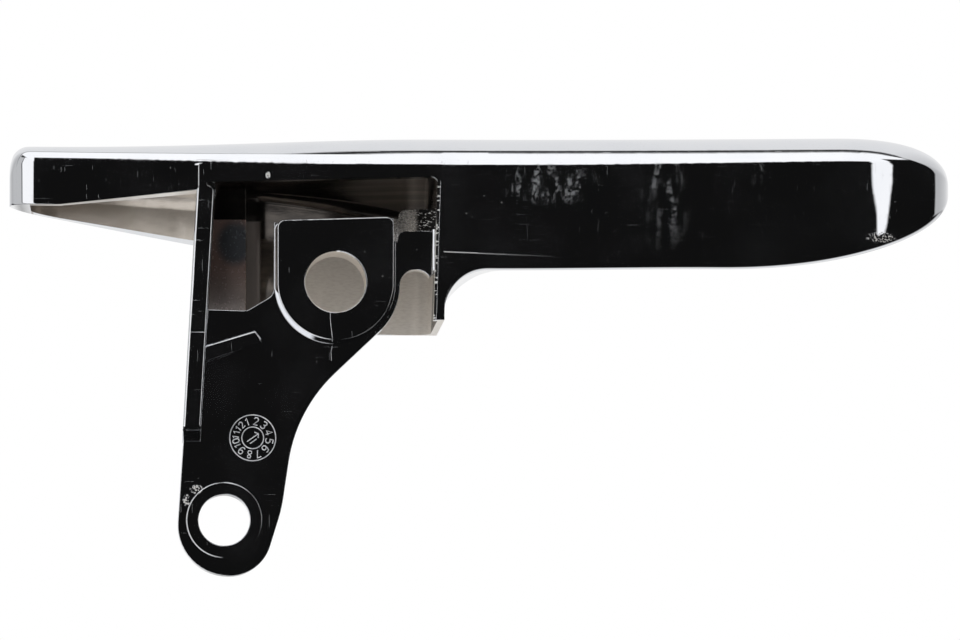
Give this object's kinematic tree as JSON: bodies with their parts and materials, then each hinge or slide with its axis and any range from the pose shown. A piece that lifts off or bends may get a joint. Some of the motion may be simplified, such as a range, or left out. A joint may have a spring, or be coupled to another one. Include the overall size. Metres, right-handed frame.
{
  "type": "car interior door handle",
  "caption": "Chrome-plated inner release lever of a car door: crowned cover and grip on a pivot bracket, with an arm ending in an eye for the release rod.",
  "frame": {"origin": "middle of the pivot bore, on its axis", "axes": "+X along the lever towards the grip's nose, +Y along the pivot axis away from the near side with the arm, +Z out of the door through the crowned front"},
  "size_m": [0.1238, 0.026, 0.0578],
  "materials": {
    "chrome_plate": "bright decorative chrome plating on moulded plastic, warmer inside the recesses"
  },
  "bodies": {
    "root": {"handle_lever": "chrome_plate"}
  },
  "joints": []
}
